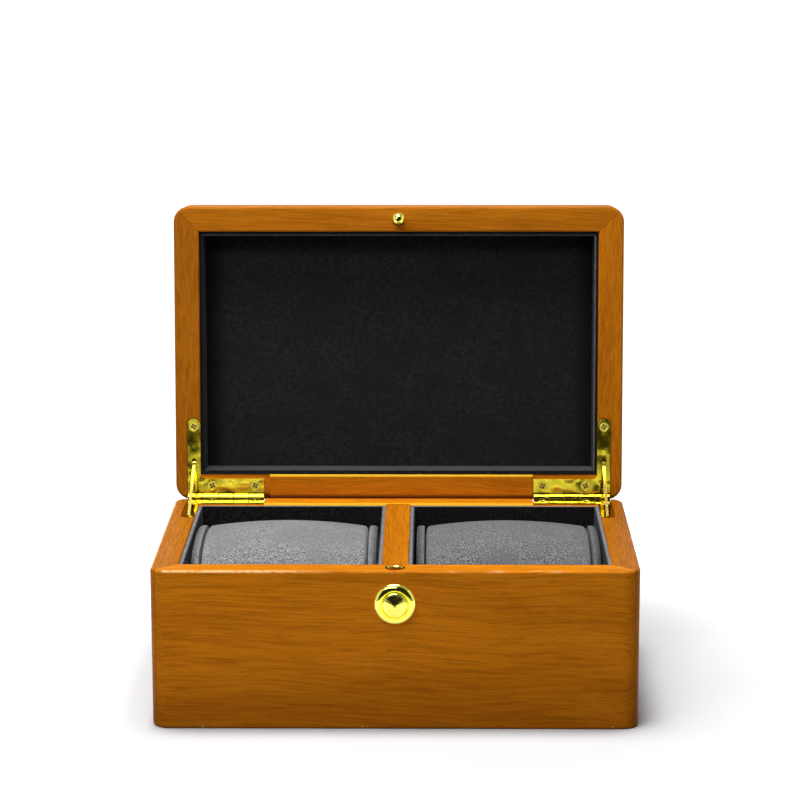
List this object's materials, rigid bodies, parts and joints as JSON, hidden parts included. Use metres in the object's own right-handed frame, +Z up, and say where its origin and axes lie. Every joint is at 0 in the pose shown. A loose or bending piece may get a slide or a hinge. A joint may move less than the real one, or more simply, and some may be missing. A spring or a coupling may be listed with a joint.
{
  "type": "watch case",
  "caption": "Wooden watch case with a hinged lid held by stay struts, lined bays with lift-out watch pillows, and a push-button latch.",
  "frame": {"origin": "middle of the underside of the base", "axes": "+Z up, front of the case towards -Y, +X to the viewer's right"},
  "size_m": [0.2, 0.1743, 0.1968],
  "materials": {
    "wood": "satin lacquer over straight grain",
    "panel": "bare board",
    "lining": "suede",
    "pillow": "suede",
    "felt": "felt",
    "brass": "polished",
    "steel": "plain"
  },
  "bodies": {
    "base": {"front_wall": "wood", "back_wall": "wood", "left_wall": "wood", "right_wall": "wood", "divider": "wood", "floor_panel": "panel", "bottom_felt": "felt", "left_bay_floor": "lining", "left_bay_front_lining": "lining", "left_bay_back_lining": "lining", "left_bay_outer_lining": "lining", "left_bay_inner_lining": "lining", "right_bay_floor": "lining", "right_bay_front_lining": "lining", "right_bay_back_lining": "lining", "right_bay_outer_lining": "lining", "right_bay_inner_lining": "lining", "left_hinge_base_leaf": "brass", "left_hinge_pin": "brass", "left_hinge_base_screws": "brass", "right_hinge_base_leaf": "brass", "right_hinge_pin": "brass", "right_hinge_base_screws": "brass", "latch_bezel": "brass", "latch_ferrule": "brass", "latch_spring": "steel"},
    "lid": {"lid_front_rail": "wood", "lid_back_rail": "wood", "lid_left_rail": "wood", "lid_right_rail": "wood", "lid_top_board": "wood", "lid_lining_panel": "lining", "lid_front_lining": "lining", "lid_back_lining": "lining", "lid_left_lining": "lining", "lid_right_lining": "lining", "left_hinge_lid_leaf": "brass", "left_hinge_lid_screws": "brass", "left_strut_pivot_pin": "brass", "right_hinge_lid_leaf": "brass", "right_hinge_lid_screws": "brass", "right_strut_pivot_pin": "brass", "lid_stud": "brass"},
    "left_strut": {"left_stay_strut": "brass", "left_strut_stop_pin": "brass"},
    "right_strut": {"right_stay_strut": "brass", "right_strut_stop_pin": "brass"},
    "button": {"push_button": "brass", "latch_catch": "steel", "catch_nut": "steel"},
    "left_pillow": {"left_pillow": "pillow", "left_pillow_ends": "pillow"},
    "right_pillow": {"right_pillow": "pillow", "right_pillow_ends": "pillow"}
  },
  "joints": [
    {"name": "lid_hinge", "type": "hinge", "parent": "base", "child": "lid", "pos_m": [0, 0.0648, 0.0672], "axis": [-1, 0, 0], "range_deg": [-95.5, 0]},
    {"name": "left_strut_pivot", "type": "hinge", "parent": "lid", "child": "left_strut", "pos_m": [-0.0918, 0.06877, 0.08229], "axis": [-1, 0, 0], "range_deg": [0, 46.13]},
    {"name": "right_strut_pivot", "type": "hinge", "parent": "lid", "child": "right_strut", "pos_m": [0.0918, 0.06877, 0.08229], "axis": [-1, 0, 0], "range_deg": [0, 46.13]},
    {"name": "button_press", "type": "slide", "parent": "base", "child": "button", "axis": [0, 1, 0], "range_m": [0, 0.0016], "stiffness_N_per_m": 500, "springref_m": -0.002, "deforming": ["latch_spring"]},
    {"name": "left_pillow_lift", "type": "slide", "parent": "base", "child": "left_pillow", "axis": [0, 0, 1], "range_m": [0, 0.015]},
    {"name": "right_pillow_lift", "type": "slide", "parent": "base", "child": "right_pillow", "axis": [0, 0, 1], "range_m": [0, 0.015]}
  ],
  "couplings": [
    {"joint": "left_strut_pivot", "follows": "lid_hinge", "ratio": -0.4809},
    {"joint": "right_strut_pivot", "follows": "lid_hinge", "ratio": -0.4809}
  ]
}
